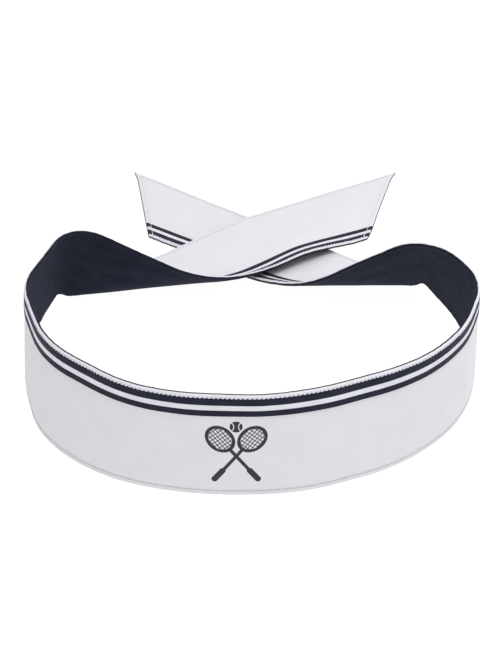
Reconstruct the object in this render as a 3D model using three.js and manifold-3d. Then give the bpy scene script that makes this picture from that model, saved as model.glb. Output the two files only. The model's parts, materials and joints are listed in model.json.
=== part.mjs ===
// Tie-back sports headband: one long flat band of woven shell and knitted lining with a striped tape
// along its top edge. The brow stands on its bottom edge as a loop. Behind the head each half leans
// over, folds flat and runs out as a tail, and the left tail lies over the right one.
//
// Millimetres, +Z up, -Y towards the front of the brow. The origin is under the middle of the whole
// band, at the lowest point of it.
import * as THREE from "three";
import { mergeVertices } from "three/addons/utils/BufferGeometryUtils.js";
import Module from "manifold-3d";

// ---- Driving dimensions ----

const BAND_WIDTH = 55;

// Each half is worked out as a flat strip bent along straight lines that run across it. A bend starts
// `gap` after the last one, takes up `run` of the strip and turns it by `turn` degrees. Gaps and runs
// are given as [along the top edge, along the bottom edge]; a positive turn closes the loop.
// `end` is what is left of the strip after the last bend, so its two values give the slanted end cut.
// `cuts` are the lines across the strip where a piece ends, from the middle of the brow.
const LEFT_HALF = {
  side: -1,
  bends: [
    { gap: [20.5, 1.7], run: [53.8, 89.4], turn: 43.3 }, // round the temple
    { gap: [14.9, 0], run: [39.4, 42], turn: 32.6 },
    { gap: [23.3, 1.6], run: [30.2, 114.2], turn: 33.1 }, // beside the ear, the top edge leaning in
    { gap: [28.5, 4.9], run: [39.6, 5.7], turn: 74.9 }, // back corner
    { gap: [38.3, 0], run: [83, 5], turn: -70.2 }, // down onto the table, outer face up
    { gap: [5, 113.7], run: [12, 12.3], turn: 6.7 }, // the tail's end droops
  ],
  end: [38.8, 107],
  cuts: { stiffener: [140, 136.5], root: [374, 270], tip: [382.5, 384] },
};
const RIGHT_HALF = {
  side: 1,
  bends: [
    { gap: [0, 0], run: [47.1, 42.7], turn: 26.4 },
    { gap: [13.7, 11.2], run: [77.2, 89.5], turn: 48.3 },
    { gap: [12.3, 0], run: [30, 98.5], turn: 40.6 },
    { gap: [9, 20.5], run: [51, 5], turn: 73.4 },
    { gap: [40.5, 0], run: [73.4, 5], turn: -50.3 },
  ],
  end: [61.2, 206.3],
  cuts: { stiffener: [143, 144.5], root: [357, 278], tip: [384, 382] },
};
const TURN_PER_CREASE = 6;
const HINGE_GAP = 0.5; // between two pieces of the band at a hinge line

// Layers, as [from, to] distances outward from the lining's inner face.
const LINING_LAYER = [0, 0.7];
const STIFFENER_LAYER = [0.82, 1.0];
const SHELL_LAYER = [1.12, 1.6];
const TAPE_LAYER = [1.75, 2.05];
const STRIPE_LAYER = [2.17, 2.32];
const SHELL_THREAD_LAYER = [1.72, 1.95];
const TAPE_THREAD_LAYER = [2.17, 2.4];
const PRINT_LAYER = [1.75, 1.87];

// Positions across the band, as [from, to] heights above its bottom edge.
const FULL_WIDTH = [0, BAND_WIDTH];
const TAPE_WIDTH = 11.6;
const TAPE_SPAN = [BAND_WIDTH - TAPE_WIDTH, BAND_WIDTH];
const UPPER_STRIPE_SPAN = [BAND_WIDTH - 5.6, BAND_WIDTH - 1.9];
const LOWER_STRIPE_SPAN = [BAND_WIDTH - 11.4, BAND_WIDTH - 8.3];
const STIFFENER_SPAN = [4, BAND_WIDTH - 4];
const THREAD_WIDTH = 0.5;
const TOP_THREAD_AT = BAND_WIDTH - 1.3;
const BOTTOM_THREAD_AT = 2.2;
const END_THREAD_INSET = 2.2; // from the end cut to the thread
const END_THREAD_SPAN = [3.6, BAND_WIDTH - TAPE_WIDTH - 0.6];

// Printed mark: two crossed rackets with a ball between their heads.
const MARK_CENTRE = [-6.3, 22.5]; // of the crossing: across the brow, and above its bottom edge
const RACKET_TILT = 38;
const RACKET_HEAD = { radii: [5.6, 7], rim: 1.2, centreAt: 10.8 };
const RACKET_SHAFT = { width: 1.7, below: 14 };
const RACKET_GRIP = { width: 2.7, start: 9, end: 15.5 };
const STRING_WIDTH = 0.5;
const STRING_PITCH = 2.6;
const BALL_RADIUS = 2.6;
const BALL_ABOVE_CENTRE = 15.6;
const CURVE_SIDES = 28;
const MARK_BLOCK_DEPTH = 20;
const MERGE_WITHIN = 1e-4;
const PRINT_TOLERANCE = 0.004;

// ---- Materials ----

const COLOURS = {
  shell: { color: 0xe3e2e9, roughness: 0.85 },
  lining: { color: 0x262a3a, roughness: 0.95 },
  stiffener: { color: 0xcfcfd2, roughness: 0.9 },
  tape: { color: 0xe9e8f2, roughness: 0.8 },
  stripe: { color: 0x272a38, roughness: 0.8 },
  thread: { color: 0xb9b8c2, roughness: 0.7 },
  print: { color: 0x34363e, roughness: 0.6 },
};

const band = new THREE.Group();
band.name = "tie_headband";

function addMesh(name, geometry, look) {
  geometry.computeVertexNormals();
  const material = new THREE.MeshStandardMaterial({ ...COLOURS[look], metalness: 0 });
  const mesh = new THREE.Mesh(geometry, material);
  mesh.name = name;
  band.add(mesh);
}

// ---- Folding a half ----

// Bends one flat half into place. Gives its facets, and its lines across the strip in order: each has
// its place along both edges, its two end points, and the vector that thickness is measured along.
function foldHalf({ side, bends, end, cuts }) {
  const lines = [];
  let top = 0;
  let bottom = 0;
  for (const { gap, run, turn } of bends) {
    top += gap[0];
    bottom += gap[1];
    const creases = Math.ceil(Math.abs(turn) / TURN_PER_CREASE);
    for (let i = 0; i < creases; i++) {
      const share = (i + 0.5) / creases;
      lines.push({
        top: top + run[0] * share,
        bottom: bottom + run[1] * share,
        turn: turn / creases,
      });
    }
    top += run[0];
    bottom += run[1];
  }
  for (const [name, [t, b]] of Object.entries(cuts)) lines.push({ top: t, bottom: b, turn: 0, name });
  lines.push({ top: top + end[0], bottom: bottom + end[1], turn: 0, name: "end" });
  lines.sort((p, q) => p.top + p.bottom - q.top - q.bottom);

  let along = new THREE.Vector3(side, 0, 0);
  let across = new THREE.Vector3(0, 0, 1);
  let start = new THREE.Vector3();
  const outward = () => across.clone().cross(along).multiplyScalar(-side);
  const facets = [{ start, along, across, normal: outward() }];
  for (const line of lines) {
    line.low = start.clone().addScaledVector(along, line.bottom);
    line.high = start.clone().addScaledVector(along, line.top).addScaledVector(across, BAND_WIDTH);
    const before = outward();
    if (line.turn) {
      const axis = line.high.clone().sub(line.low).normalize();
      const angle = THREE.MathUtils.degToRad(line.turn) * side;
      along = along.clone().applyAxisAngle(axis, angle);
      across = across.clone().applyAxisAngle(axis, angle);
      start = line.low.clone().addScaledVector(along, -line.bottom);
    }
    const after = outward();
    line.facet = facets.length;
    facets.push({ start, along, across, normal: after });
    line.lift = before.clone().add(after).divideScalar(1 + before.dot(after));
  }
  return { side, lines, facets };
}

// A line across the flat strip moved `by` millimetres towards the tail, square to itself.
function shifted(half, line, by) {
  const { along, normal } = half.facets[line.facet];
  const step = (by * line.high.distanceTo(line.low)) / BAND_WIDTH;
  return {
    low: line.low.clone().addScaledVector(along, step),
    high: line.high.clone().addScaledVector(along, step),
    lift: normal,
  };
}

const named = (half, name) => half.lines.find((line) => line.name === name);

// The lines of a half from one named line to another; the two at the ends keep clear by `inset`.
function linesBetween(half, from, to, inset = [0, 0]) {
  const first = from ? half.lines.indexOf(named(half, from)) : -1;
  const last = half.lines.indexOf(named(half, to));
  const list = half.lines.slice(first + 1, last).filter((line) => line.turn);
  if (from) list.unshift(shifted(half, half.lines[first], inset[0]));
  list.push(shifted(half, half.lines[last], -inset[1]));
  return list;
}

// ---- Ribbons ----

// A closed strip of cloth over the given lines, `span` across the band and `layer` thick.
function ribbon(lines, span, layer) {
  const corners = [
    [span[0], layer[0]],
    [span[1], layer[0]],
    [span[1], layer[1]],
    [span[0], layer[1]],
  ];
  const sections = lines.map(({ low, high, lift }) =>
    corners.map(([height, depth]) =>
      low.clone().lerp(high, height / BAND_WIDTH).addScaledVector(lift, depth),
    ),
  );
  const triangles = [];
  const quad = (a, b, c, d) => triangles.push(a, b, c, a, c, d);
  for (let i = 0; i + 1 < sections.length; i++) {
    for (let j = 0; j < 4; j++) {
      const k = (j + 1) % 4;
      quad(sections[i][j], sections[i][k], sections[i + 1][k], sections[i + 1][j]);
    }
  }
  quad(...[...sections[0]].reverse());
  quad(...sections.at(-1));
  let volume = 0;
  for (let i = 0; i < triangles.length; i += 3) {
    volume += triangles[i].dot(triangles[i + 1].clone().cross(triangles[i + 2]));
  }
  if (volume < 0) triangles.reverse();
  return new THREE.BufferGeometry().setFromPoints(triangles);
}

const centred = (at, width) => [at - width / 2, at + width / 2];

// Everything that runs the whole length of one piece of the band.
function addRunningPieces(place, lines) {
  addMesh(`${place}_lining`, ribbon(lines, FULL_WIDTH, LINING_LAYER), "lining");
  addMesh(`${place}_shell`, ribbon(lines, FULL_WIDTH, SHELL_LAYER), "shell");
  addMesh(`${place}_tape`, ribbon(lines, TAPE_SPAN, TAPE_LAYER), "tape");
  addMesh(`${place}_upper_stripe`, ribbon(lines, UPPER_STRIPE_SPAN, STRIPE_LAYER), "stripe");
  addMesh(`${place}_lower_stripe`, ribbon(lines, LOWER_STRIPE_SPAN, STRIPE_LAYER), "stripe");
  const topThread = centred(TOP_THREAD_AT, THREAD_WIDTH);
  addMesh(`${place}_top_thread`, ribbon(lines, topThread, TAPE_THREAD_LAYER), "thread");
  const bottomThread = centred(BOTTOM_THREAD_AT, THREAD_WIDTH);
  addMesh(`${place}_bottom_thread`, ribbon(lines, bottomThread, SHELL_THREAD_LAYER), "thread");
}

// ---- The band ----

const left = foldHalf(LEFT_HALF);
const right = foldHalf(RIGHT_HALF);
const halfGap = HINGE_GAP / 2;

const acrossBrow = (name, inset) => [
  ...linesBetween(left, null, name, [0, inset]).reverse(),
  ...linesBetween(right, null, name, [0, inset]),
];
addRunningPieces("brow", acrossBrow("root", halfGap));
const stiffenerLines = acrossBrow("stiffener", 0);
addMesh("brow_stiffener", ribbon(stiffenerLines, STIFFENER_SPAN, STIFFENER_LAYER), "stiffener");

for (const [place, half] of [["left", left], ["right", right]]) {
  addRunningPieces(`${place}_tail`, linesBetween(half, "root", "tip", [halfGap, halfGap]));
  addRunningPieces(`${place}_tip`, linesBetween(half, "tip", "end", [halfGap, 0]));
  const end = named(half, "end");
  const endThread = centred(-END_THREAD_INSET, THREAD_WIDTH).map((by) => shifted(half, end, by));
  addMesh(`${place}_end_thread`, ribbon(endThread, END_THREAD_SPAN, SHELL_THREAD_LAYER), "thread");
}

// ---- Printed mark ----

const wasm = await Module();
wasm.setup();

function toSolid(geometry) {
  const bare = new THREE.BufferGeometry().setAttribute("position", geometry.attributes.position);
  const merged = mergeVertices(bare, MERGE_WITHIN);
  return new wasm.Manifold(
    new wasm.Mesh({
      numProp: 3,
      vertProperties: merged.attributes.position.array,
      triVerts: new Uint32Array(merged.index.array),
    }),
  );
}

function toGeometry(solid) {
  const { vertProperties, numProp, triVerts } = solid.getMesh();
  const points = Array.from({ length: vertProperties.length / numProp }, (_, i) =>
    new THREE.Vector3(...vertProperties.subarray(i * numProp, i * numProp + 3)),
  );
  return new THREE.BufferGeometry().setFromPoints(Array.from(triVerts, (i) => points[i]));
}

// An outline in the mark's own plane, as a solid block that passes right through the brow.
function block(outline, { at = [0, 0], tilt = 0 } = {}) {
  const points = outline.map(([x, y]) => new THREE.Vector2(x, y));
  const geometry = new THREE.ExtrudeGeometry(new THREE.Shape(points), {
    depth: MARK_BLOCK_DEPTH,
    bevelEnabled: false,
  });
  geometry.translate(0, 0, -MARK_BLOCK_DEPTH / 2);
  geometry.rotateZ(THREE.MathUtils.degToRad(tilt));
  geometry.translate(MARK_CENTRE[0] + at[0], MARK_CENTRE[1] + at[1], 0);
  return toSolid(geometry.rotateX(Math.PI / 2));
}

const oval = (rx, ry, cy = 0) =>
  Array.from({ length: CURVE_SIDES }, (_, i) => {
    const angle = (i * 2 * Math.PI) / CURVE_SIDES;
    return [rx * Math.cos(angle), cy + ry * Math.sin(angle)];
  });

const bar = (width, low, high) => [
  [-width / 2, low],
  [width / 2, low],
  [width / 2, high],
  [-width / 2, high],
];

// One racket, pivoted on the middle of its shaft.
function racket(tilt) {
  const { radii, rim, centreAt } = RACKET_HEAD;
  const pose = { tilt };
  const inset = (by) => block(oval(radii[0] - by, radii[1] - by, centreAt), pose);
  const hoop = inset(0).subtract(inset(rim));
  const strings = [];
  for (let i = -1; i <= 1; i++) {
    const offset = i * STRING_PITCH;
    const upright = bar(STRING_WIDTH, centreAt - radii[1], centreAt + radii[1]);
    const level = bar(2 * radii[0], ...centred(centreAt + offset, STRING_WIDTH));
    strings.push(block(upright.map(([x, y]) => [x + offset, y]), pose), block(level, pose));
  }
  const net = inset(rim / 2).intersect(wasm.Manifold.union(strings));
  const neck = centreAt - radii[1] + rim / 2;
  const shaft = block(bar(RACKET_SHAFT.width, -RACKET_SHAFT.below, neck), pose);
  const grip = block(bar(RACKET_GRIP.width, -RACKET_GRIP.end, -RACKET_GRIP.start), pose);
  return wasm.Manifold.union([hoop, net, shaft, grip]);
}

const film = toSolid(ribbon(stiffenerLines, FULL_WIDTH, PRINT_LAYER));
const rackets = racket(RACKET_TILT).add(racket(-RACKET_TILT));
addMesh("print_rackets", toGeometry(film.intersect(rackets).simplify(PRINT_TOLERANCE)), "print");
const ball = block(oval(BALL_RADIUS, BALL_RADIUS), { at: [0, BALL_ABOVE_CENTRE] });
addMesh("print_ball", toGeometry(film.intersect(ball).simplify(PRINT_TOLERANCE)), "print");

// ---- Origin ----

const bounds = new THREE.Box3().setFromObject(band);
const middle = bounds.getCenter(new THREE.Vector3());
for (const mesh of band.children) mesh.geometry.translate(-middle.x, -middle.y, -bounds.min.z);

export default band;
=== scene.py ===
"""A tie headband as sewn cloth: outer cloth, lining, striped tape, seams and print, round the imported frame.

The band is one flat strip, bent without stretching. Every piece is drawn on the flat strip, where x runs
along it from the middle of the brow (the wearer's right is negative), h goes up from its bottom edge and
depth goes out from the lining's inner face, all in millimetres. Strip.place then bends it into shape.
"""
import json
import math

import bpy
import numpy as np
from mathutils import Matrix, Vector


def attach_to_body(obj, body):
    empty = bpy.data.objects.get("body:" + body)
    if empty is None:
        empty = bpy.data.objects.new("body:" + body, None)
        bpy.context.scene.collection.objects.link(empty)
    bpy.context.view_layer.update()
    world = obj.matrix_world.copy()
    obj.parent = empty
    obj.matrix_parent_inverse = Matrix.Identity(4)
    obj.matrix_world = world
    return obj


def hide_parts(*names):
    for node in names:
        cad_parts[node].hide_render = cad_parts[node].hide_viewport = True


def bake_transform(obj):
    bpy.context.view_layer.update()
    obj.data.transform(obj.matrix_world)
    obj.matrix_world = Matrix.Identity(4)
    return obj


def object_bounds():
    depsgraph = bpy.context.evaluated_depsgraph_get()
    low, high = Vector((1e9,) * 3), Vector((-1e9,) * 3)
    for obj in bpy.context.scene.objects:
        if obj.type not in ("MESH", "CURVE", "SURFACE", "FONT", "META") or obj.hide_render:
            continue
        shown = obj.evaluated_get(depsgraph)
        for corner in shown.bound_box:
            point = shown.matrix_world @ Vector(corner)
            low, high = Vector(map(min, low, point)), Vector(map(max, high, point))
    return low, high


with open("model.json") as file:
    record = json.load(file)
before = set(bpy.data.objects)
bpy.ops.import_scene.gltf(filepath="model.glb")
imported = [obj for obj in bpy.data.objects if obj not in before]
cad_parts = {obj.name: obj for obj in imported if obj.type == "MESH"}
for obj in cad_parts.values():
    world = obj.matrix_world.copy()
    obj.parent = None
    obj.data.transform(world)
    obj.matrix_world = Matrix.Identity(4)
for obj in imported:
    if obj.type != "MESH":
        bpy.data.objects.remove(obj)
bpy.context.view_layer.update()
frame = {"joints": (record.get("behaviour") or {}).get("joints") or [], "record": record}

MM = 0.001
BAND_WIDTH = 55.0
TURN_PER_CREASE = 1.8

# Each bend is (flat before it, bent length, degrees), with lengths along the (top, bottom) edge. A negative
# bend folds the tail down onto the table, outer face up. Cuts are places along the (top, bottom) edge.
HALVES = {
    "left": {"side": -1, "end": (38.8, 107), "bends": [
        ((20.5, 1.7), (53.8, 89.4), 43.3),
        ((14.9, 0), (39.4, 42), 32.6),
        ((23.3, 1.6), (30.2, 114.2), 33.1),
        ((28.5, 4.9), (39.6, 5.7), 74.9),
        ((38.3, 0), (83, 5), -70.2),
        ((5, 113.7), (12, 12.3), 6.7)]},
    "right": {"side": 1, "end": (61.2, 206.3), "bends": [
        ((0, 0), (47.1, 42.7), 26.4),
        ((13.7, 11.2), (77.2, 89.5), 48.3),
        ((12.3, 0), (30, 98.5), 40.6),
        ((9, 20.5), (51, 5), 73.4),
        ((40.5, 0), (73.4, 5), -50.3)]},
}
# Where one piece of cloth in this script meets the next, all on flat stretches.
SPLITS = {"left": {"fold": (269, 259.5), "end": (373.5, 325)},
          "right": {"fold": (260, 267.4), "end": (369, 330)}}

# Depths of the layers, outwards from the lining's inner face.
LINING_TOP = 0.70
FLEECE = (0.82, 1.00)
CLOTH = (1.12, 1.60)
TAPE = (1.66, 2.02)
STRIPE_RISE = 0.11
STRIPE_SINK = 0.06      # how far a stripe's underside lies in the tape
CREST = 1.05            # where lining and outer cloth meet round an edge
EDGE_RADIUS = 0.95      # how far in from an edge the cloth starts to roll over
LINING_REACH = 0.35     # how far the lining stands out past the other cloth, as a thin dark outline
# How far the (inner, outer) surfaces stand off the crest, so that no two coincide there.
CLOTH_OFF_CREST = (0.01, 0.02)
TAPE_OFF_CREST = (0.015, 0.03)
LINING_OFF_CREST = 0.005
STRIPE_OFF_TAPE = 0.01

# Places across the band.
TAPE_FROM = 43.4
UPPER_STRIPE = (49.4, 53.4)
LOWER_STRIPE = (43.5, 46.7)
TOP_SEAM = 53.4
BOTTOM_SEAM = 2.3
END_SEAM = 2.1          # in from the end cut
FLEECE_SPAN = (4.0, 51.0)
FLEECE_REACH = (137.0, 143.0)

STITCH_PITCH = 2.04
STITCH_LENGTH = 1.62
STITCH_LEAN = 0.10      # radians off the seam's own line
THREAD_RADIUS = 0.20
PRESSED = (230.0, 270.0)    # out from the brow's middle: where the cloth begins to be pressed flat, and is
COLUMN_PITCH = 1.3
FLAT_UNIT = 100.0       # the UV map "flat" holds places on the strip in this many millimetres
PLACED_AT_ONCE = 20000  # points, so that the work fits in memory


# The strip and its bends

def turned(vector, axis, angle):
    """A vector turned about a unit axis through the origin."""
    along = axis * (axis @ vector)
    return along + (vector - along) * math.cos(angle) + np.cross(axis, vector) * math.sin(angle)


def creases_of(half):
    """A half's creases as (place along the top edge, along the bottom edge, turn in degrees), and its end."""
    found = []
    top = bottom = 0.0
    for (gap_top, gap_bottom), (run_top, run_bottom), turn in half["bends"]:
        top += gap_top
        bottom += gap_bottom
        count = math.ceil(abs(turn) / TURN_PER_CREASE)
        for i in range(count):
            share = (i + 0.5) / count
            found.append((top + run_top * share, bottom + run_bottom * share, turn / count))
        top += run_top
        bottom += run_bottom
    return found, (top + half["end"][0], bottom + half["end"][1])


def fold_half(half):
    """The half's ruling lines as it lies: rows of flat x low and high, point low and high, and normal."""
    side = half["side"]
    creases, end = creases_of(half)
    along = np.array([side, 0.0, 0.0])
    up = np.array([0.0, 0.0, 1.0])
    start = np.zeros(3)
    rows = []
    for top, bottom, turn in creases + [(*end, 0.0)]:
        low = start + along * bottom
        high = start + along * top + up * BAND_WIDTH
        before = -side * np.cross(up, along)
        axis = (high - low) / np.linalg.norm(high - low)
        angle = math.radians(turn) * side
        along = turned(along, axis, angle)
        up = turned(up, axis, angle)
        start = low - along * bottom
        normal = before - side * np.cross(up, along)
        rows.append((side * bottom, side * top, low, high, normal / np.linalg.norm(normal)))
    return rows


class Strip:
    """The bent strip, as ruling lines from the left end to the right end, in the row frame."""

    def __init__(self, origin):
        middle = (0.0, 0.0, np.zeros(3), np.array([0.0, 0.0, BAND_WIDTH]), np.array([0.0, -1.0, 0.0]))
        rows = fold_half(HALVES["left"])[::-1] + [middle] + fold_half(HALVES["right"])
        self.low, self.high, p_low, p_high, self.normal = (np.array(c) for c in zip(*rows))
        self.p_low = p_low + origin
        self.p_high = p_high + origin

    def place(self, x, h, depth):
        """Points of the flat strip as the band lies, in metres."""
        x, h, depth = np.broadcast_arrays(x, h, depth)
        made = np.empty((x.size, 3))
        for i in range(0, x.size, PLACED_AT_ONCE):
            part = slice(i, i + PLACED_AT_ONCE)
            made[part] = self._place(x.ravel()[part], h.ravel()[part], depth.ravel()[part])
        return made.reshape(*x.shape, 3) * MM

    def _place(self, x, h, depth):
        """The same for one batch, in millimetres, between the two ruling lines beside each point."""
        share = (h / BAND_WIDTH)[:, None]
        lines = self.low + (self.high - self.low) * share
        k = np.clip((lines < x[:, None]).sum(1) - 1, 0, len(self.low) - 2)
        each = np.arange(len(x))
        here, there = lines[each, k], lines[each, k + 1]
        t = ((x - here) / (there - here))[:, None]
        a = self.p_low[k] + (self.p_high[k] - self.p_low[k]) * share
        b = self.p_low[k + 1] + (self.p_high[k + 1] - self.p_low[k + 1]) * share
        return a + (b - a) * t + (self.normal[k] * (1 - t) + self.normal[k + 1] * t) * depth[:, None]


# The mount is on the brow's bottom edge, halfway through the lining.
edge_mount = next(m for m in frame["record"]["mounts"] if m["name"] == "brow_edge")
strip = Strip(np.array(edge_mount["pos_m"]) / MM + [0, LINING_TOP / 2, 0])
ENDS = {name: creases_of(half)[1] for name, half in HALVES.items()}


def end_line(name, h, inset=0.0):
    """Flat x of a tail's end cut at height h, or of a line parallel to it and that far in."""
    side = HALVES[name]["side"]
    top, bottom = ENDS[name]
    slant = (top - bottom) / BAND_WIDTH
    return side * (bottom + slant * h - inset * math.hypot(1, slant))


def from_end(name, x, h):
    """Distance from a tail's end cut, in from it."""
    top, bottom = ENDS[name]
    return (end_line(name, h) - x) * HALVES[name]["side"] / math.hypot(1, (top - bottom) / BAND_WIDTH)


# Depth of each surface

def rise(distance):
    """How far a rolled edge has risen that far in from it: 0 on the crest, 1 on the flat."""
    return np.sqrt(1 - np.clip(1 - distance / EDGE_RADIUS, 0, 1) ** 2)


def hollow(distance, width):
    """1 on a line and 0 well away from it."""
    return np.exp(-((distance / width) ** 2))


def eased(share):
    """From 0 to 1 with a soft start and a soft end, as share goes from 0 to 1."""
    share = np.clip(share, 0, 1)
    return share ** 2 * (3 - 2 * share)


wave_random = np.random.default_rng(7)
WAVES = [(length, wave_random.uniform(0, 2 * math.pi), wave_random.uniform(-0.6, 0.6))
         for length in (83.0, 47.0, 29.0, 17.0)]
WAVE_HEIGHT = 0.00121   # as a share of the wave's length
PUCKERS = [(length, wave_random.uniform(0, 2 * math.pi)) for length in (11.3, 7.9, 5.3)]
PUCKER_HEIGHT = 0.09
PUCKER_REACH = {"bottom": 5.0, "top": 4.0}  # from the seam
# Waves of the striped edge: (tail, distance of the crest in from its end, half length, height).
TAIL_WAVES = [("left", 36, 19, 1.1), ("left", 2, 14, -2.0), ("right", 24, 13, 1.5)]
# Where an edge of the loop stands out or in: (flat place, half length, at the bottom edge, at the top edge).
EDGE_WAVES = [(-72, 40, 3.3, 0.0), (0, 28, 0.0, 2.6), (-208, 35, 0.0, -1.5), (212, 28, 0.0, -1.5)]
# Each tail's (sag of the cloth beside the tape, rise of the striped edge), and how far in from its end
# these are whole and gone.
TAPE_CURL = {"left": (-1.8, 0.4), "right": (0.0, 0.8)}
CURL_REACH = (40, 80)


def tail_wave(x, h):
    """The striped edge's slow waves near the tails' ends."""
    wave = sum(height * hollow(from_end(name, x, h) - place, width)
               for name, place, width, height in TAIL_WAVES)
    return wave * (np.clip(h, 0, None) / BAND_WIDTH) ** 2


def edge_wave(x, h):
    """The loop's own unevenness, where it doesn't follow its creases."""
    up = np.clip(h / BAND_WIDTH, 0, 1)
    return sum(hollow(x - place, width) * (low * (1 - up) ** 2 + high * up ** 2)
               for place, width, low, high in EDGE_WAVES)


def tape_curl(x, h):
    """The tape, a little short for its cloth, draws the tails' striped edge up."""
    across = np.clip((h - TAPE_FROM) / (BAND_WIDTH - TAPE_FROM), 0, 1) ** 2
    beside = np.where(h < TAPE_FROM, np.clip(h / TAPE_FROM, 0, 1) ** 4, 1 - across)
    whole, gone = CURL_REACH
    return sum(eased((gone - from_end(name, x, h)) / (gone - whole)) * (sag * beside + lift * across)
               for name, (sag, lift) in TAPE_CURL.items())


def ripple(x, h):
    """The cloth's own unevenness: slow waves, with small puckers that fade away from the two seams."""
    slow = sum(WAVE_HEIGHT * length * np.sin(2 * math.pi * (x + lean * h) / length + phase)
               for length, phase, lean in WAVES)
    small = sum(np.sin(2 * math.pi * x / length + phase) for length, phase in PUCKERS) / len(PUCKERS)
    seams = (hollow(np.maximum(h - BOTTOM_SEAM, 0), PUCKER_REACH["bottom"])
             + hollow(np.maximum(TOP_SEAM - h, 0), PUCKER_REACH["top"]))
    return slow + PUCKER_HEIGHT * small * seams + tail_wave(x, h) + tape_curl(x, h) + edge_wave(x, h)


def nearest_end(x, h):
    return np.minimum(from_end("left", x, h), from_end("right", x, h))


SEAM_DEPTH = 0.22
SEAM_HALF_WIDTH = {"bottom": 0.8, "top": 0.5, "end": 0.75}
END_SEAM_SHARE = 0.7        # of the depth of the other two
PRESSED_SEAM_SHARE = 0.25   # of the bottom seam's depth, along the tails


def seam_pull(x, h):
    """How far the seams draw the outer cloth in; the bottom one draws less where the band is pressed."""
    end = END_SEAM_SHARE * hollow(nearest_end(x, h) - END_SEAM, SEAM_HALF_WIDTH["end"])
    pressed = np.clip((np.abs(x) - PRESSED[0]) / (PRESSED[1] - PRESSED[0]), 0, 1)
    bottom = (1 - (1 - PRESSED_SEAM_SHARE) * pressed) * hollow(h - BOTTOM_SEAM, SEAM_HALF_WIDTH["bottom"])
    top = hollow(h - TOP_SEAM, SEAM_HALF_WIDTH["top"])
    return SEAM_DEPTH * np.maximum(np.maximum(bottom, top), end)


CROWN_HEIGHT = 0.22


def crown(h):
    """The slight fullness between the tape and the bottom seam."""
    return CROWN_HEIGHT * np.sin(math.pi * np.clip((h - BOTTOM_SEAM) / (TAPE_FROM - BOTTOM_SEAM), 0, 1))


def cloth_outer(x, h):
    edge = rise(np.minimum(h, nearest_end(x, h)))
    full = CLOTH[1] - CREST + crown(h) - seam_pull(x, h)
    return CREST + CLOTH_OFF_CREST[1] + full * edge + ripple(x, h)


def cloth_inner(x, h):
    edge = rise(np.minimum(h, nearest_end(x, h)))
    return CREST + CLOTH_OFF_CREST[0] + (CLOTH[0] - CREST) * edge + ripple(x, h)


SELVEDGE_RADIUS = EDGE_RADIUS / 4   # the tape's lower edge is a thin woven one
SELVEDGE_FLOOR = 0.2                # of the tape's thickness, on the edge itself
TAPE_SEAM_SHARES = (0.2, 0.8)       # how far the seam draws the tape's (inner, outer) surface in


def tape_outer(x, h):
    edge = rise(np.minimum(BAND_WIDTH - h, nearest_end(x, h)))
    selvedge = SELVEDGE_FLOOR + (1 - SELVEDGE_FLOOR) * rise((h - TAPE_FROM) * EDGE_RADIUS / SELVEDGE_RADIUS)
    full = (TAPE[1] - CREST) * selvedge - TAPE_SEAM_SHARES[1] * seam_pull(x, h)
    return CREST + TAPE_OFF_CREST[1] + full * edge + ripple(x, h)


def tape_inner(x, h):
    edge = rise(np.minimum(BAND_WIDTH - h, nearest_end(x, h)))
    full = TAPE[0] - CREST - TAPE_SEAM_SHARES[0] * seam_pull(x, h)
    return CREST + TAPE_OFF_CREST[0] + full * edge + ripple(x, h)


STRIPE_EDGE_RADIUS = EDGE_RADIUS / 3


def stripe_outer(span):
    """The outer surface of the stripe between two heights."""
    def depth(x, h):
        inside = np.clip(np.minimum(h - span[0], span[1] - h), 0, None)
        raised = STRIPE_RISE * rise(inside * EDGE_RADIUS / STRIPE_EDGE_RADIUS)
        return tape_outer(x, h) + STRIPE_OFF_TAPE + raised
    return depth


def stripe_inner(x, h):
    return tape_outer(x, h) - STRIPE_SINK


def lining_edge(x, h):
    """Distance in from the lining's own edge."""
    return np.minimum(np.minimum(h, BAND_WIDTH + LINING_REACH - h), nearest_end(x, h) + LINING_REACH)


LINING_SEAM_SHARE = 0.5     # how far the seams draw the lining's face in


def lining_inner(x, h):
    edge = rise(lining_edge(x, h))
    return CREST * (1 - edge) + LINING_SEAM_SHARE * seam_pull(x, h) * edge + ripple(x, h)


def lining_outer(x, h):
    edge = rise(lining_edge(x, h))
    return LINING_TOP + (CREST - LINING_TOP) * (1 - edge) + LINING_OFF_CREST + ripple(x, h)


def fleece_inner(x, h):
    return FLEECE[0] + ripple(x, h)


def fleece_outer(x, h):
    return FLEECE[1] + ripple(x, h)


def on_top(x, h):
    """Depth of whatever shows on the outside."""
    striped = (h > UPPER_STRIPE[0]) & (h < UPPER_STRIPE[1]) | (h > LOWER_STRIPE[0]) & (h < LOWER_STRIPE[1])
    return np.where(h > TAPE_FROM, tape_outer(x, h) + striped * STRIPE_RISE, cloth_outer(x, h))


# Meshes

FLARE = 1.6
FLARE_REACH = (12, 3.2)     # in from the tail's end and up from the bottom edge


def corner_flare(x, h):
    """The tails' outer corners, where the turned seam allowance pushes the point out."""
    flare = FLARE * hollow(h, FLARE_REACH[1])
    return sum(HALVES[name]["side"] * flare * np.clip(1 - from_end(name, x, h) / FLARE_REACH[0], 0, 1) ** 2
               for name in HALVES)


def cut(name, which):
    """A cut across the strip as its (low, high) flat x."""
    side = HALVES[name]["side"]
    top, bottom = SPLITS[name][which]
    return side * bottom, side * top


# Lines in from a tail's end cut, closer together over the rolled edge and the end seam.
END_INSETS = (0, 0.04, 0.15, 0.32, 0.55, 0.8, 1.1, 1.5, 1.9, 2.3, 2.8, 3.6)


def tail_end(name, reach):
    """The last section of a tail, whose end cut stands out by reach."""
    return [(end_line(name, 0, inset - reach), end_line(name, BAND_WIDTH, inset - reach))
            for inset in END_INSETS] + [cut(name, "end")]


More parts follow.
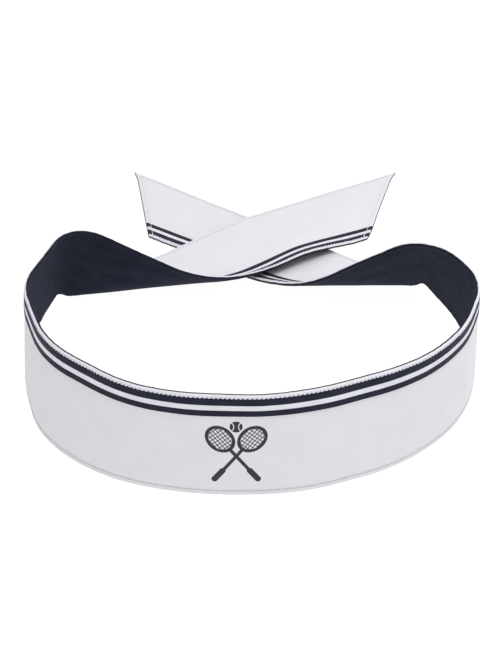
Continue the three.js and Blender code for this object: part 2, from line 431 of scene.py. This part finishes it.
# Each section of the strip as the lines across it that its cloth must have, its two ends among them.
SECTIONS = {"brow": [cut("left", "fold"), cut("right", "fold")],
            "fleece": [(-FLEECE_REACH[0], -FLEECE_REACH[0]), (FLEECE_REACH[1], FLEECE_REACH[1])]}
for name in HALVES:
    SECTIONS[name + "_fold"] = [cut(name, "end"), cut(name, "fold")]
    SECTIONS[name + "_end"] = tail_end(name, 0)
    SECTIONS[name + "_end_lining"] = tail_end(name, LINING_REACH)
LINE_GAP = 0.01     # lines closer than this count as crossing


def stations(keys):
    """The given lines across the strip, the creases between them, and more where those are far apart."""
    keys = np.array(sorted(keys))
    lines = np.stack([strip.low, strip.high], 1)
    inside = ((lines > keys[0] + LINE_GAP) & (lines < keys[-1] - LINE_GAP)).all(1)
    for key in keys[1:-1]:  # a crease that would cross one of the given lines is left out
        inside &= (lines > key + LINE_GAP).all(1) | (lines < key - LINE_GAP).all(1)
    lines = np.concatenate([keys, lines[inside]])
    lines = lines[np.argsort(lines.sum(1))]
    made = [lines[:1]]
    for a, b in zip(lines[:-1], lines[1:]):
        count = max(1, math.ceil(np.abs(b - a).max() / COLUMN_PITCH))
        made.append(a + (b - a) * (np.arange(1, count + 1) / count)[:, None])
    return np.concatenate(made)


def mesh_object(name, points, faces, material, flat=None, column=None):
    """A smooth mesh. flat is each point's (x, h), and column the line across the strip that it is on."""
    mesh = bpy.data.meshes.new(name)
    mesh.from_pydata(points.reshape(-1, 3).tolist(), [], faces)
    mesh.polygons.foreach_set("use_smooth", np.ones(len(mesh.polygons), bool))
    if flat is not None:
        corner = np.empty(len(mesh.loops), np.int32)
        mesh.loops.foreach_get("vertex_index", corner)
        uv = mesh.uv_layers.new(name="flat")
        uv.data.foreach_set("uv", (flat[corner] / FLAT_UNIT).astype(np.float32).ravel())
    if column is not None:  # a piece's first and last columns are square cuts
        ends = np.empty(len(mesh.edges) * 2, np.int32)
        mesh.edges.foreach_get("vertices", ends)
        a, b = column[ends].reshape(-1, 2).T
        sharp = (a == b) & ((a == 0) | (a == column.max()))
        mesh.edges.foreach_set("use_edge_sharp", sharp)
    mesh.materials.append(material)
    made = bpy.data.objects.new(name, mesh)
    bpy.context.scene.collection.objects.link(made)
    return made


def grid_faces(n, m, at, turn):
    """Quads of an n by m grid of points that starts at index at, wound the other way if turn."""
    i, j = np.meshgrid(np.arange(n - 1), np.arange(m - 1), indexing="ij")
    a = (at + i * m + j).ravel()
    quads = np.stack([a, a + m, a + m + 1, a + 1], 1)
    return quads[:, ::-1] if turn else quads


def cloth_piece(name, section, rows, outer, inner, material):
    """A closed sheet over one section of the strip, between two depths."""
    lines = stations(SECTIONS[section])
    rows = np.array(rows)
    x = lines[:, :1] + (lines[:, 1:] - lines[:, :1]) * rows / BAND_WIDTH
    h = np.broadcast_to(rows, x.shape)
    n, m = x.shape
    shown = x + corner_flare(x, h)
    top = strip.place(shown, h, outer(x, h))
    under = strip.place(shown, h, inner(x, h))
    size = n * m
    rim = np.concatenate([np.arange(n) * m, (n - 1) * m + np.arange(1, m),
                          np.arange(n - 2, -1, -1) * m + m - 1, np.arange(m - 2, 0, -1)])
    after = np.roll(rim, -1)
    sides = np.stack([rim, rim + size, after + size, after], 1)
    faces = np.concatenate([grid_faces(n, m, 0, False), grid_faces(n, m, size, True), sides])
    flat = np.stack([x, h], 2).reshape(-1, 2)
    column = np.repeat(np.arange(n), m)
    return mesh_object(name, np.concatenate([top.reshape(-1, 3), under.reshape(-1, 3)]), faces.tolist(),
                       material, np.concatenate([flat, flat]), np.concatenate([column, column]))


def spread(low, high, step):
    """Evenly spaced heights from low to high, about a step apart."""
    return list(np.linspace(low, high, max(2, round((high - low) / step) + 1)))


# Heights of the rows of points across each layer, closer together over the rolled edges and at the seams.
ROLL = [0, 0.03, 0.12, 0.27, 0.46, 0.7, 0.95]
TOP_ROLL = [BAND_WIDTH - r for r in reversed(ROLL)]
BOTTOM_ROWS = ROLL + [1.2, 1.5, 1.8, 2.05, 2.3, 2.55, 2.8, 3.1, 3.6, 4.3]
CLOTH_ROWS = BOTTOM_ROWS + spread(5.2, 42.2, 1.5) + [43.0, 44.2, 46, 50, 53.5]
LINING_ROWS = (BOTTOM_ROWS + spread(5.5, 49.5, 2.0) + [51.2, 52.2, 52.8, 53.2, 53.6]
               + [r + LINING_REACH for r in TOP_ROLL])
TAPE_ROWS = ([TAPE_FROM + r for r in (0, 0.04, 0.12, 0.25, 0.7)] + spread(45.0, 52.2, 1.2)
             + [52.5, 52.8, 53.0, 53.15, 53.3, 53.45, 53.65, 53.85] + TOP_ROLL)
STRIPE_EDGE_ROWS = (0, 0.06, 0.16, 0.32)


def stripe_rows(span):
    low, high = span
    return ([low + r for r in STRIPE_EDGE_ROWS] + spread(low + 0.8, high - 0.8, 0.6)
            + [high - r for r in reversed(STRIPE_EDGE_ROWS)])


# Stitches

PLY_HEIGHT = 0.10       # of the thread's radius
PLY_TWIST = 2.2         # radians over half a stitch
THREAD_WIDTH = 1.15     # the thread is flattened a little by its tension
THREAD_RISE = 0.55      # of its radius, at the middle of a stitch
THREAD_DIP = 1.15       # of its radius, from there down to a stitch's ends
THREAD_TAPER = 0.9


def stitches(name, centres, directions, depth, material, lean=0.0, out=1, rings=8, sides=8):
    """A row of stitches as two-ply thread, dipping into the cloth at their ends. out is -1 on the lining."""
    centres, directions = np.array(centres), np.array(directions)
    t = np.linspace(-1, 1, rings)
    turn = np.arange(sides) * 2 * math.pi / sides
    radius = THREAD_RADIUS * np.sqrt(1 - THREAD_TAPER * t ** 4)
    ply = 1 + PLY_HEIGHT * np.cos(2 * (turn[None, :] - PLY_TWIST * t[:, None]))
    across = radius[:, None] * ply * np.cos(turn) * THREAD_WIDTH
    lift = THREAD_RADIUS * (THREAD_RISE - THREAD_DIP * t ** 4)
    raised = lift[:, None] + radius[:, None] * ply * np.sin(turn)
    cos, sin = math.cos(lean), math.sin(lean)
    ux = directions[:, 0] * cos - directions[:, 1] * sin
    uh = directions[:, 1] * cos + directions[:, 0] * sin
    along = (t * STITCH_LENGTH / 2)[None, :, None]
    x = centres[:, 0, None, None] + ux[:, None, None] * along - uh[:, None, None] * across
    h = centres[:, 1, None, None] + uh[:, None, None] * along + ux[:, None, None] * across
    level = depth(centres[:, 0], centres[:, 1])[:, None, None]
    points = strip.place(x, h, level + out * raised)
    quads = []
    for j in range(rings - 1):
        for k in range(sides):
            a, b = j * sides + k, j * sides + (k + 1) % sides
            quads.append([a, b, b + sides, a + sides][::out])
    caps = [list(range(sides))[::-out], [(rings - 1) * sides + k for k in range(sides)][::out]]
    each = rings * sides
    faces = [[v + i * each for v in face] for i in range(len(centres)) for face in quads + caps]
    flat = np.stack([x, h], 3).reshape(-1, 2)
    return mesh_object(name, points, faces, material, flat)


CLEAR_OF_END = 0.7 * END_SEAM   # how far in from a tail's end cut the two long seams stop
END_SEAM_SPAN = (BOTTOM_SEAM + 1.1, TOP_SEAM + 1.2)     # the heights that the end seam runs between


def seam_centres(section, h):
    """Stitches at one height that fall in a section of the strip, in from the tails' end seams."""
    keys = sorted(SECTIONS[section])
    low, high = (key[0] + (key[1] - key[0]) * h / BAND_WIDTH for key in (keys[0], keys[-1]))
    k = np.arange(math.ceil(low / STITCH_PITCH), math.ceil(high / STITCH_PITCH))
    x = k * STITCH_PITCH
    x = x[nearest_end(x, h) > CLEAR_OF_END]
    return np.stack([x, np.full(len(x), h)], 1)


def end_centres(name):
    """Stitches of a tail's end seam, parallel to its cut, and the seam's direction."""
    low, high = END_SEAM_SPAN
    run = np.array([end_line(name, high) - end_line(name, low), high - low])
    count = round(np.linalg.norm(run) / STITCH_PITCH)
    h = np.linspace(low, high, count)
    return np.stack([end_line(name, h, END_SEAM), h], 1), np.tile(run / np.linalg.norm(run), (count, 1))


# Materials

class Shader:
    """A Principled material under construction, with short names for the nodes that cloth needs."""

    def __init__(self, name, roughness, sheen, sheen_tint, specular=0.25):
        self.material = bpy.data.materials.new(name)
        self.material.use_nodes = True
        self.tree = self.material.node_tree
        self.surface = self.tree.nodes["Principled BSDF"]
        self.surface.inputs["Roughness"].default_value = roughness
        self.surface.inputs["Specular IOR Level"].default_value = specular
        self.surface.inputs["Sheen Weight"].default_value = sheen
        self.surface.inputs["Sheen Roughness"].default_value = 0.55
        self.surface.inputs["Sheen Tint"].default_value = (*sheen_tint, 1)
        uv = self.tree.nodes.new("ShaderNodeUVMap")
        uv.uv_map = "flat"
        split = self.tree.nodes.new("ShaderNodeSeparateXYZ")
        self.tree.links.new(uv.outputs[0], split.inputs[0])
        self.x = self.math("MULTIPLY", split.outputs[0], FLAT_UNIT)
        self.h = self.math("MULTIPLY", split.outputs[1], FLAT_UNIT)
        flat = self.tree.nodes.new("ShaderNodeCombineXYZ")
        self.tree.links.new(self.x, flat.inputs[0])
        self.tree.links.new(self.h, flat.inputs[1])
        self.flat = flat.outputs[0]

    def put(self, socket, value):
        """Links a value to a socket, or sets it if it is a plain one."""
        if isinstance(value, bpy.types.NodeSocket):
            self.tree.links.new(value, socket)
        else:
            socket.default_value = value

    def math(self, operation, a, b=0.0):
        node = self.tree.nodes.new("ShaderNodeMath")
        node.operation = operation
        self.put(node.inputs[0], a)
        self.put(node.inputs[1], b)
        return node.outputs[0]

    def add(self, *values):
        total = values[0]
        for value in values[1:]:
            total = self.math("ADD", total, value)
        return total

    def times(self, a, b):
        return self.math("MULTIPLY", a, b)

    def wave(self, value, length):
        """A sine of a length in millimetres, from -1 to 1."""
        return self.math("SINE", self.times(value, 2 * math.pi / length))

    def noise(self, size, detail=3.0, stretch=(1, 1)):
        """Noise from 0 to 1 with patches of about that many millimetres."""
        scaled = self.tree.nodes.new("ShaderNodeVectorMath")
        scaled.operation = "MULTIPLY"
        self.put(scaled.inputs[0], self.flat)
        scaled.inputs[1].default_value = (stretch[0] / size, stretch[1] / size, 1)
        node = self.tree.nodes.new("ShaderNodeTexNoise")
        node.inputs["Scale"].default_value = 1.0
        node.inputs["Detail"].default_value = detail
        self.tree.links.new(scaled.outputs[0], node.inputs["Vector"])
        return node.outputs["Fac"]

    def ramp(self, value, low, high):
        """0 below low and 1 above high, softly."""
        node = self.tree.nodes.new("ShaderNodeMapRange")
        node.interpolation_type = "SMOOTHSTEP"
        self.put(node.inputs["Value"], value)
        node.inputs["From Min"].default_value = low
        node.inputs["From Max"].default_value = high
        return node.outputs["Result"]

    def mix(self, factor, a, b):
        """Colour a where the factor is 0 and b where it is 1."""
        node = self.tree.nodes.new("ShaderNodeMix")
        node.data_type = "RGBA"
        self.put(node.inputs["Factor"], factor)
        for socket, value in ((node.inputs[6], a), (node.inputs[7], b)):
            self.put(socket, value if isinstance(value, bpy.types.NodeSocket) else (*value, 1))
        return node.outputs[2]

    def colour(self, value):
        self.put(self.surface.inputs["Base Color"], value)

    def bump(self, height, millimetres, strength):
        node = self.tree.nodes.new("ShaderNodeBump")
        node.inputs["Strength"].default_value = strength
        node.inputs["Distance"].default_value = millimetres * MM
        self.tree.links.new(height, node.inputs["Height"])
        self.tree.links.new(node.outputs[0], self.surface.inputs["Normal"])

    def rough(self, value, low, high):
        """Roughness that follows a value from 0 to 1."""
        self.put(self.surface.inputs["Roughness"], self.add(self.times(value, high - low), low))


# The needle holes are darkened in colour: painted shade, with a bump dent on the outer cloth.
HOLE_SPAN = (0.25, 0.90)    # of the cosine along the seam: from a hole's rim to its middle
HOLE_CORE = 0.3             # of its half width, wholly dark


def needle_holes(shader, seam, half_width):
    """1 in the holes that a seam's needle leaves between stitches, where the materials paint shade."""
    along = shader.math("COSINE", shader.times(shader.x, 2 * math.pi / STITCH_PITCH))
    along = shader.ramp(shader.times(along, -1), *HOLE_SPAN)
    across = shader.math("ABSOLUTE", shader.add(shader.h, -seam))
    return shader.times(along, shader.ramp(shader.times(across, -1), -half_width, -half_width * HOLE_CORE))


CLOTH_WEAVE = 0.46      # the pitch of its threads
BOTTOM_GREY_REACH = (0.2, 3.2)     # up from the bottom edge, where the cloth greys: wholly, and not at all
PRESSED_GREY_SHARE = 0.15     # of the edge grey and the painted hole shade, kept where the band is pressed flat


def outer_cloth_material():
    """Fine plain-woven microfibre, white with a cool cast, greyer at its bottom edge, with painted shade in
    its needle holes.
    """
    s = Shader("outer_cloth_white", 0.8, 0.12, (0.95, 0.95, 1.0))
    shade, white, slub_white = (0.726, 0.718, 0.758), (0.746, 0.738, 0.777), (0.76, 0.757, 0.785)
    edge_grey, hole = (0.60, 0.59, 0.61), (0.34, 0.34, 0.37)
    weave = s.times(s.wave(s.x, CLOTH_WEAVE), s.wave(s.h, CLOTH_WEAVE))
    slub = s.noise(0.9, 3, (0.35, 1.6))
    patches = s.ramp(s.noise(17, 4), 0.35, 0.68)
    near_edge = s.ramp(s.times(s.h, -1), -BOTTOM_GREY_REACH[1], -BOTTOM_GREY_REACH[0])
    pressed = s.ramp(s.math("ABSOLUTE", s.x), *PRESSED)
    # This share is no wear: it takes the edge grey and the painted hole shade mostly off the pressed tails.
    grey_mask = s.add(s.times(pressed, PRESSED_GREY_SHARE - 1), 1.0)
    holes = s.times(needle_holes(s, BOTTOM_SEAM, 0.55), grey_mask)
    base = s.mix(patches, shade, white)
    base = s.mix(s.times(s.ramp(slub, 0.5, 0.75), 0.35), base, slub_white)
    # greyer towards the bottom edge, mostly left off the pressed tails
    base = s.mix(s.times(s.times(near_edge, grey_mask), 0.22), base, edge_grey)
    # painted shade in the bottom seam's needle holes
    s.colour(s.mix(s.times(holes, 0.72), base, hole))
    s.bump(s.add(s.times(weave, 0.5), s.times(slub, 0.5), s.times(holes, -2.0)), 0.05, 0.55)
    s.rough(slub, 0.74, 0.9)
    return s.material


KNIT_RIB = 0.6          # from one rib to the next
KNIT_LOOP = 0.75        # along a rib


def lining_material():
    """Brushed navy jersey: fine ribs of knit under a short nap, lighter where it is rubbed."""
    s = Shader("lining_navy", 0.92, 0.06, (0.36, 0.40, 0.62), 0.06)
    dark, navy = (0.0100, 0.0118, 0.0225), (0.0180, 0.0205, 0.0355)
    rubbed, rib_crest_highlight = (0.030, 0.034, 0.054), (0.027, 0.031, 0.050)
    rib = s.wave(s.add(s.x, s.times(s.wave(s.h, KNIT_LOOP), 0.14)), KNIT_RIB)
    nap = s.noise(1.3, 5)
    patches = s.ramp(s.noise(11, 5, (0.7, 1.2)), 0.34, 0.70)
    base = s.mix(patches, dark, navy)
    base = s.mix(s.times(s.ramp(nap, 0.45, 0.8), 0.5), base, rubbed)
    # painted highlight on the knit ribs' crests
    s.colour(s.mix(s.times(s.ramp(rib, 0.2, 1.0), 0.25), base, rib_crest_highlight))
    s.bump(s.add(s.times(rib, 0.5), s.times(nap, 1.4)), 0.09, 0.7)
    s.rough(nap, 0.84, 0.97)
    return s.material


RIBBON_RIB = 0.42
RIBBON_WARP = 0.34
TOP_HOLES = TOP_SEAM + 0.25


def ribbon_material(name, low, high, sheen_tint, specular):
    """Woven ribbon: ribs across it and fine warp threads along it."""
    s = Shader(name, 0.62, 0.10, sheen_tint, specular)
    ribs = s.wave(s.x, RIBBON_RIB)
    warp = s.wave(s.h, RIBBON_WARP)
    uneven = s.noise(2.6, 4, (0.5, 1.8))
    # painted highlight on the ribbon's rib crests
    rib_crest_highlight = [min(1, c * 1.28) for c in high]
    hole = [c * 0.35 for c in low]
    base = s.mix(s.ramp(s.noise(9, 3), 0.35, 0.65), low, high)
    base = s.mix(s.times(s.ramp(ribs, -0.2, 1.0), 0.22), base, rib_crest_highlight)
    # painted shade in the top seam's needle holes
    s.colour(s.mix(s.times(needle_holes(s, TOP_HOLES, 0.5), 0.45), base, hole))
    s.bump(s.add(s.times(ribs, 0.6), s.times(s.times(ribs, warp), 0.4), s.times(uneven, 0.6)), 0.06, 0.6)
    s.rough(uneven, 0.55, 0.75)
    return s.material


PLY_PITCH = 0.42
PLY_SLANT = 2.2


def thread_material(name, low, high):
    """Two-ply polyester sewing thread."""
    s = Shader(name, 0.55, 0.15, (0.9, 0.9, 1.0), 0.4)
    ply = s.wave(s.add(s.x, s.times(s.h, PLY_SLANT)), PLY_PITCH)
    # painted highlight on the plies' crests and painted shade in the grooves between them
    s.colour(s.mix(s.ramp(ply, -0.8, 0.8), low, high))
    s.bump(ply, 0.05, 0.6)
    s.rough(s.noise(0.5), 0.45, 0.7)
    return s.material


def ink_material():
    """Matt screen-print ink that takes the weave under it, thinner in rubbed specks."""
    s = Shader("print_ink", 0.7, 0.04, (0.8, 0.8, 0.9), 0.3)
    dark, charcoal, worn_grey = (0.021, 0.022, 0.029), (0.029, 0.031, 0.039), (0.12, 0.125, 0.15)
    weave = s.times(s.wave(s.x, CLOTH_WEAVE), s.wave(s.h, CLOTH_WEAVE))
    grey_mask = s.ramp(s.noise(1.1, 6), 0.62, 0.80)
    base = s.mix(s.ramp(s.noise(6, 3), 0.3, 0.7), dark, charcoal)
    s.colour(s.mix(s.times(grey_mask, 0.35), base, worn_grey))
    s.bump(weave, 0.03, 0.5)
    s.rough(grey_mask, 0.6, 0.8)
    return s.material


def fleece_material():
    """Pressed fibres of the fused stiffener."""
    s = Shader("stiffener_white", 0.95, 0.2, (1, 1, 1))
    fibres = s.noise(0.5, 6)
    s.colour(s.mix(fibres, (0.62, 0.62, 0.64), (0.75, 0.75, 0.77)))
    s.bump(fibres, 0.1, 0.6)
    return s.material


CLOTH_WHITE = outer_cloth_material()
LINING_NAVY = lining_material()
TAPE_WHITE = ribbon_material("tape_white", (0.725, 0.720, 0.788), (0.772, 0.767, 0.836), (1, 1, 1), 0.3)
STRIPE_NAVY = ribbon_material("stripe_navy", (0.0118, 0.0128, 0.0270), (0.0168, 0.0180, 0.0345),
                              (0.4, 0.43, 0.6), 0.1)
THREAD_WHITE = thread_material("thread_white", (0.68, 0.68, 0.74), (0.86, 0.86, 0.92))
THREAD_GREY = thread_material("thread_grey", (0.58, 0.58, 0.61), (0.70, 0.70, 0.73))
THREAD_NAVY = thread_material("thread_navy", (0.0085, 0.0105, 0.0245), (0.0145, 0.0180, 0.0385))
INK = ink_material()
FLEECE_WHITE = fleece_material()


# The printed mark: two crossed rackets with a ball above them, generic

MARK_CENTRE = np.array([-6.3, 21.6])
MARK_SCALE = 1.1
MARK_PITCH = 0.16       # of the grid that its outline is found on
PRINT_THICKNESS = 0.03
PRINT_SINK = 0.02       # into the cloth
# Before scaling, with the point where the rackets cross as the origin.
RACKET_TILT = math.radians(38)
HEAD_CENTRE = 10.8
HEAD_RADII = (5.0, 6.4)
RIM_HALF_WIDTH = 0.62
SHAFT = (-14.2, 4.2, 1.5)       # lower end, upper end, width
GRIP = (-14.6, -9.2, 2.6)
STRING_HALF_WIDTH = 0.17
STRING_GAPS = (1.35, 1.6)       # across the head and along it
STRINGS_EACH_SIDE = 3
BALL_CENTRE = 14.6
BALL_RADIUS = 2.7
BALL_SEAM = (3.6, 2.6, 0.22)    # arc's centre out from the ball's, its radius, half the line's width
RACKETS_SPAN = ((-21, -18.5), (21, 21))
BALL_SPAN = ((-3.9, 12), (3.9, 20.4))


def inside_oval(p, rx, ry):
    """Roughly the distance inside an oval's edge, negative outside."""
    length = np.hypot(p[..., 0] / rx, p[..., 1] / ry)
    return (1 - length) * min(rx, ry)


def inside_bar(p, low, high, width):
    """Distance inside a bar along y with round ends."""
    y = p[..., 1] - np.clip(p[..., 1], low, high)
    return width / 2 - np.hypot(p[..., 0], y)


def racket_field(p, side):
    """Positive inside a racket that leans to one side (1 or -1), with its head up."""
    cos, sin = math.cos(RACKET_TILT * side), math.sin(RACKET_TILT * side)
    q = np.stack([p[..., 0] * cos - p[..., 1] * sin, p[..., 0] * sin + p[..., 1] * cos], -1) / MARK_SCALE
    head = q - [0, HEAD_CENTRE]
    opening = inside_oval(head, *HEAD_RADII)
    solid = np.maximum(RIM_HALF_WIDTH - np.abs(opening), inside_bar(q, *SHAFT))
    solid = np.maximum(solid, inside_bar(q, *GRIP))
    strings = np.full(opening.shape, -np.inf)
    for k in range(-STRINGS_EACH_SIDE, STRINGS_EACH_SIDE + 1):
        for axis, gap in enumerate(STRING_GAPS):
            strings = np.maximum(strings, STRING_HALF_WIDTH - np.abs(head[..., axis] - gap * k))
    return np.maximum(solid, np.minimum(strings, opening))


def rackets_field(p):
    return np.maximum(racket_field(p, 1), racket_field(p, -1))


def ball_field(p):
    """A ball above the crossing, with its two seam lines left open."""
    q = p / MARK_SCALE - [0, BALL_CENTRE]
    field = inside_oval(q, BALL_RADIUS, BALL_RADIUS)
    aside, radius, half_width = BALL_SEAM
    for side in (-1, 1):
        seam = np.abs(np.hypot(q[..., 0] - side * aside, q[..., 1]) - radius) - half_width
        field = np.minimum(field, seam)
    return field


def printed(name, field, low, high):
    """A film of ink wherever field is above zero, cut cell by cell from a fine grid and laid on the cloth."""
    xs, ys = (np.arange(a, b, MARK_PITCH) for a, b in zip(low, high))
    gx, gy = np.meshgrid(xs, ys, indexing="ij")
    value = field(np.stack([gx, gy], -1))
    points, index, faces = [], {}, []

    def point(one, other):
        """The grid point one, or where the outline crosses the way from it to the other."""
        key = (one, other) if one <= other else (other, one)
        if key not in index:
            a, b = key
            t = 0.0 if a == b else value[a] / (value[a] - value[b])
            index[key] = len(points)
            points.append((gx[a] + (gx[b] - gx[a]) * t, gy[a] + (gy[b] - gy[a]) * t))
        return index[key]

    rim = []
    inside = value > 0
    cells = inside[:-1, :-1] | inside[1:, :-1] | inside[:-1, 1:] | inside[1:, 1:]
    for i, j in zip(*np.nonzero(cells)):
        ring = [(i, j), (i + 1, j), (i + 1, j + 1), (i, j + 1)]
        face, crossings = [], []
        for a, b in zip(ring, ring[1:] + ring[:1]):
            if inside[a]:
                face.append(point(a, a))
            if inside[a] != inside[b]:
                crossings.append((len(face), bool(inside[a])))
                face.append(point(a, b))
        faces.append(face)
        for at, leaving in crossings:
            if leaving:
                rim.append((face[at], face[(at + 1) % len(face)]))
    flat = np.array(points) + MARK_CENTRE
    level = cloth_outer(flat[:, 0], flat[:, 1])
    count = len(points)
    top = strip.place(flat[:, 0], flat[:, 1], level + PRINT_THICKNESS)
    under = strip.place(flat[:, 0], flat[:, 1], level - PRINT_SINK)
    faces += [[v + count for v in reversed(face)] for face in faces]
    faces += [[b, a, a + count, b + count] for a, b in rim]
    return mesh_object(name, np.concatenate([top, under]), faces, INK, np.concatenate([flat, flat]))


# Making every piece

LAYERS = [  # name, rows, outer depth, inner depth, material, CAD node, slot
    ("lining", LINING_ROWS, lining_outer, lining_inner, LINING_NAVY, "lining", "lining_navy"),
    ("outer_cloth", CLOTH_ROWS, cloth_outer, cloth_inner, CLOTH_WHITE, "shell", "shell_white"),
    ("striped_tape", TAPE_ROWS, tape_outer, tape_inner, TAPE_WHITE, "tape", "tape_white"),
    ("upper_stripe_weave", stripe_rows(UPPER_STRIPE), stripe_outer(UPPER_STRIPE), stripe_inner,
     STRIPE_NAVY, "upper_stripe", "stripe_navy"),
    ("lower_stripe_weave", stripe_rows(LOWER_STRIPE), stripe_outer(LOWER_STRIPE), stripe_inner,
     STRIPE_NAVY, "lower_stripe", "stripe_navy"),
]
CAD_PLACE = {"brow": "brow", "left_fold": "left_tail", "left_end": "left_tip",
             "right_fold": "right_tail", "right_end": "right_tip"}
JOINTS = {joint["name"]: joint for joint in frame["joints"]}
# The joint that each section bends at, and how far its cloth bends before and after the hinge line.
BENDS = {"left_fold": ("left_tail_lift", 4.0, 2.3), "left_end": ("left_tip_lift", 6.0, 8.0),
         "right_fold": ("right_tail_drop", 4.5, 6.0), "right_end": ("right_tip_drop", 3.0, 14.0)}


def across_hinge(name, hinge, axis):
    """The direction on the table, square to a hinge, in which its tail runs out."""
    out = Vector((-axis.y, axis.x, 0)).normalized()
    middle = BAND_WIDTH / 2
    tip = Vector(strip.place(end_line(name.split("_")[0], middle), middle, 0.0))
    return out if (tip - hinge).dot(out) > 0 else -out


def attach(piece, section, material_slot, *nodes):
    """Rides a piece on the brow, or leaves any other where it lies, its placing baked into its mesh."""
    if section == "brow":
        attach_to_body(piece, "brow_loop")
    else:
        name, before, after = BENDS[section]
        joint = JOINTS[name]
        hinge, axis = Vector(joint["pos_m"]), Vector(joint["axis"])
        out = across_hinge(name, hinge, axis)
        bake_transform(piece)
    if nodes:
        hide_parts(*nodes)
    return piece


SEAMS = [("top", TOP_SEAM, THREAD_WHITE), ("bottom", BOTTOM_SEAM, THREAD_GREY)]
COARSE = {"rings": 6, "sides": 6}       # for the stitches that barely show

pieces = {}
for section, place in CAD_PLACE.items():
    for layer, rows, outer, inner, material, node, material_slot in LAYERS:
        cut_as = section + "_lining" if layer == "lining" and section.endswith("_end") else section
        piece = cloth_piece(f"{layer}_{section}", cut_as, rows, outer, inner, material)
        pieces[layer, section] = attach(piece, section, material_slot, f"{place}_{node}")
    for seam, height, material in SEAMS:
        centres = seam_centres(section, height)
        forward = np.tile([1.0, 0.0], (len(centres), 1))
        outside = stitches(f"{seam}_stitches_{section}", centres, forward, on_top, material, lean=STITCH_LEAN)
        pieces[seam, section] = attach(outside, section, "thread_grey", f"{place}_{seam}_thread")
        inside = stitches(f"{seam}_lining_stitches_{section}", centres, forward, lining_inner, THREAD_NAVY,
                          out=-1, **COARSE)
        pieces[seam + "_inside", section] = attach(inside, section, "thread_grey")

for name in HALVES:
    section = name + "_end"
    centres, directions = end_centres(name)
    outside = stitches(f"end_stitches_{name}", centres, directions, on_top, THREAD_WHITE)
    pieces["end", section] = attach(outside, section, "thread_grey", f"{name}_end_thread")
    inside = stitches(f"end_lining_stitches_{name}", centres, directions, lining_inner, THREAD_NAVY,
                      out=-1, **COARSE)
    pieces["end_inside", section] = attach(inside, section, "thread_grey")

fleece_rows = spread(*FLEECE_SPAN, 2.0)
fleece = cloth_piece("brow_fleece", "fleece", fleece_rows, fleece_outer, fleece_inner, FLEECE_WHITE)
attach(fleece, "brow", "stiffener_white", "brow_stiffener")

rackets = printed("printed_rackets", rackets_field, *RACKETS_SPAN)
attach(rackets, "brow", "print_charcoal", "print_rackets")
ball = printed("printed_ball", ball_field, *BALL_SPAN)
attach(ball, "brow", "print_charcoal", "print_ball")


# The pieces on each section's cloth, gathered into lists that nothing uses

for section in CAD_PLACE:
    on_cloth = [pieces["bottom", section]] + [pieces[k] for k in pieces if k == ("end", section)]
    if section == "brow":
        on_cloth += [rackets, ball]


# Floor, light and camera

PAPER_GREY = (0.14, 0.14, 0.142, 1)
PAPER_GLOW = 0.98


def floor_material():
    """Plain white paper that glows evenly, so that shadows on it stay faint."""
    material = bpy.data.materials.new("floor_paper")
    material.use_nodes = True
    surface = material.node_tree.nodes["Principled BSDF"]
    surface.inputs["Roughness"].default_value = 0.9
    surface.inputs["Specular IOR Level"].default_value = 0.0
    surface.inputs["Base Color"].default_value = PAPER_GREY
    surface.inputs["Emission Color"].default_value = (1, 1, 1, 1)
    surface.inputs["Emission Strength"].default_value = PAPER_GLOW
    return material


FLOOR_RADIUS, FLOOR_SIDES = 3.0, 64
FLOOR_GAP = 0.0002


def make_floor():
    turns = np.arange(FLOOR_SIDES) * 2 * math.pi / FLOOR_SIDES
    rim = np.stack([np.cos(turns), np.sin(turns), np.zeros(FLOOR_SIDES)], 1) * FLOOR_RADIUS
    made = mesh_object("floor", rim, [list(range(FLOOR_SIDES))], floor_material())
    made.location.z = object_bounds()[0].z - FLOOR_GAP


SKY_STRENGTH = 0.65
LAMPS = [  # name, place, aimed at, diameter, watts, colour
    ("key", (0.32, -0.52, 1.6), (0, 0, 0), 1.0, 12.2, (1.0, 0.995, 0.99)),
    ("back", (0.60, 0.50, 0.9), (0.05, 0.1, 0), 0.8, 2.4, (0.97, 0.98, 1.0)),
]


def area_light(name, place, target, size, watts, colour):
    data = bpy.data.lights.new(name, "AREA")
    data.shape = "DISK"
    data.size = size
    data.energy = watts
    data.color = colour
    made = bpy.data.objects.new(name, data)
    made.location = place
    made.rotation_euler = (Vector(target) - Vector(place)).to_track_quat("-Z", "Y").to_euler()
    bpy.context.scene.collection.objects.link(made)


def make_light():
    world = bpy.data.worlds.new("studio")
    world.use_nodes = True
    sky = world.node_tree.nodes["Background"]
    sky.inputs["Color"].default_value = (1.0, 1.0, 1.0, 1)
    sky.inputs["Strength"].default_value = SKY_STRENGTH
    bpy.context.scene.world = world
    for lamp in LAMPS:
        area_light(*lamp)


CAMERA_PLACE = (0.0, -0.9540, 0.6189)     # from the brow's bottom edge
CAMERA_PITCH = math.radians(29.26)
PICTURE = (500, 669)
FOCAL_PIXELS = 2444.0
SENSOR_WIDTH = 36.0


def make_camera():
    data = bpy.data.cameras.new("camera")
    data.sensor_width = SENSOR_WIDTH
    data.lens = FOCAL_PIXELS / max(PICTURE) * data.sensor_width
    made = bpy.data.objects.new("camera", data)
    made.location = Vector(edge_mount["pos_m"]) + Vector((0, LINING_TOP / 2 * MM, 0)) + Vector(CAMERA_PLACE)
    made.rotation_euler = (math.pi / 2 - CAMERA_PITCH, 0, 0)
    bpy.context.scene.collection.objects.link(made)
    bpy.context.scene.camera = made


make_floor()
make_light()
make_camera()
bpy.context.scene.view_settings.view_transform = "Standard"
